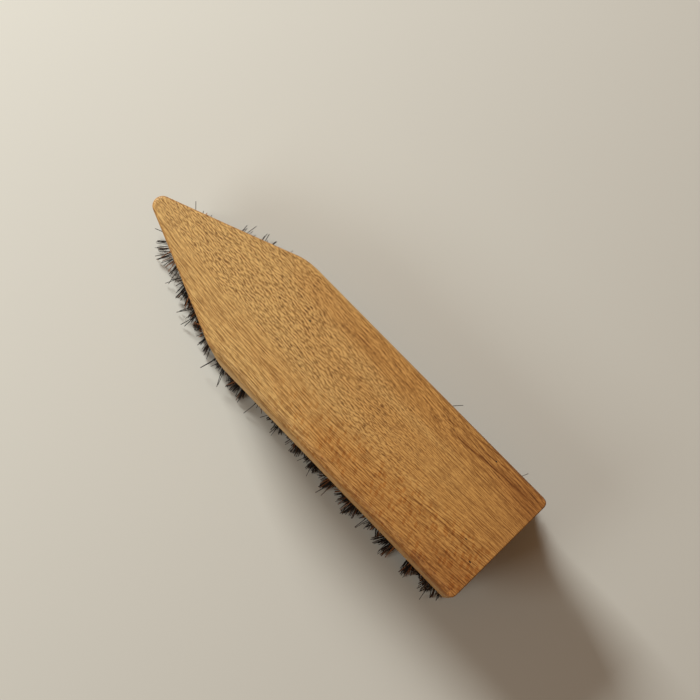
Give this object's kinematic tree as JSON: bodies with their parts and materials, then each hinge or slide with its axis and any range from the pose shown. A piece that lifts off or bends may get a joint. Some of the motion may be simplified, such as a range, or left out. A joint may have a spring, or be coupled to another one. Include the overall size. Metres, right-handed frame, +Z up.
{
  "type": "shoe brush",
  "caption": "Hand brush with a pointed oiled-oak block and dark mixed-hair tufts drawn into stepped holes by a wire under a glued cover board.",
  "frame": {"origin": "centre of the brush's box in X and Y, at the level of the trimmed hair ends", "axes": "+X along the block to its pointed nose, +Y to the left side seen from the blunt end, +Z up through the block's back"},
  "size_m": [0.18, 0.0568, 0.045],
  "materials": {
    "oiled_oak": "oiled, satin, open grain with dark pores",
    "mixed_hair": "coarse black and brown natural hair",
    "draw_wire": "drawn wire, bare"
  },
  "bodies": {
    "root": {"stock": "oiled_oak", "cover_board": "oiled_oak", "draw_wire": "draw_wire", "tuft_01_1": "mixed_hair", "tuft_01_2": "mixed_hair", "tuft_01_3": "mixed_hair", "tuft_01_4": "mixed_hair", "tuft_02_1": "mixed_hair", "tuft_02_2": "mixed_hair", "tuft_02_3": "mixed_hair", "tuft_02_4": "mixed_hair", "tuft_03_1": "mixed_hair", "tuft_03_2": "mixed_hair", "tuft_03_3": "mixed_hair", "tuft_03_4": "mixed_hair", "tuft_04_1": "mixed_hair", "tuft_04_2": "mixed_hair", "tuft_04_3": "mixed_hair", "tuft_04_4": "mixed_hair", "tuft_05_1": "mixed_hair", "tuft_05_2": "mixed_hair", "tuft_05_3": "mixed_hair", "tuft_05_4": "mixed_hair", "tuft_06_1": "mixed_hair", "tuft_06_2": "mixed_hair", "tuft_06_3": "mixed_hair", "tuft_06_4": "mixed_hair", "tuft_07_1": "mixed_hair", "tuft_07_2": "mixed_hair", "tuft_07_3": "mixed_hair", "tuft_07_4": "mixed_hair", "tuft_08_1": "mixed_hair", "tuft_08_2": "mixed_hair", "tuft_08_3": "mixed_hair", "tuft_08_4": "mixed_hair", "tuft_09_1": "mixed_hair", "tuft_09_2": "mixed_hair", "tuft_09_3": "mixed_hair", "tuft_09_4": "mixed_hair", "tuft_10_1": "mixed_hair", "tuft_10_2": "mixed_hair", "tuft_10_3": "mixed_hair", "tuft_10_4": "mixed_hair", "tuft_11_1": "mixed_hair", "tuft_11_2": "mixed_hair", "tuft_11_3": "mixed_hair", "tuft_11_4": "mixed_hair", "tuft_12_1": "mixed_hair", "tuft_12_2": "mixed_hair", "tuft_12_3": "mixed_hair", "tuft_12_4": "mixed_hair", "tuft_13_1": "mixed_hair", "tuft_13_2": "mixed_hair", "tuft_13_3": "mixed_hair", "tuft_14_1": "mixed_hair", "tuft_14_2": "mixed_hair", "tuft_14_3": "mixed_hair", "tuft_15_1": "mixed_hair", "tuft_15_2": "mixed_hair", "tuft_16_1": "mixed_hair"}
  },
  "joints": []
}
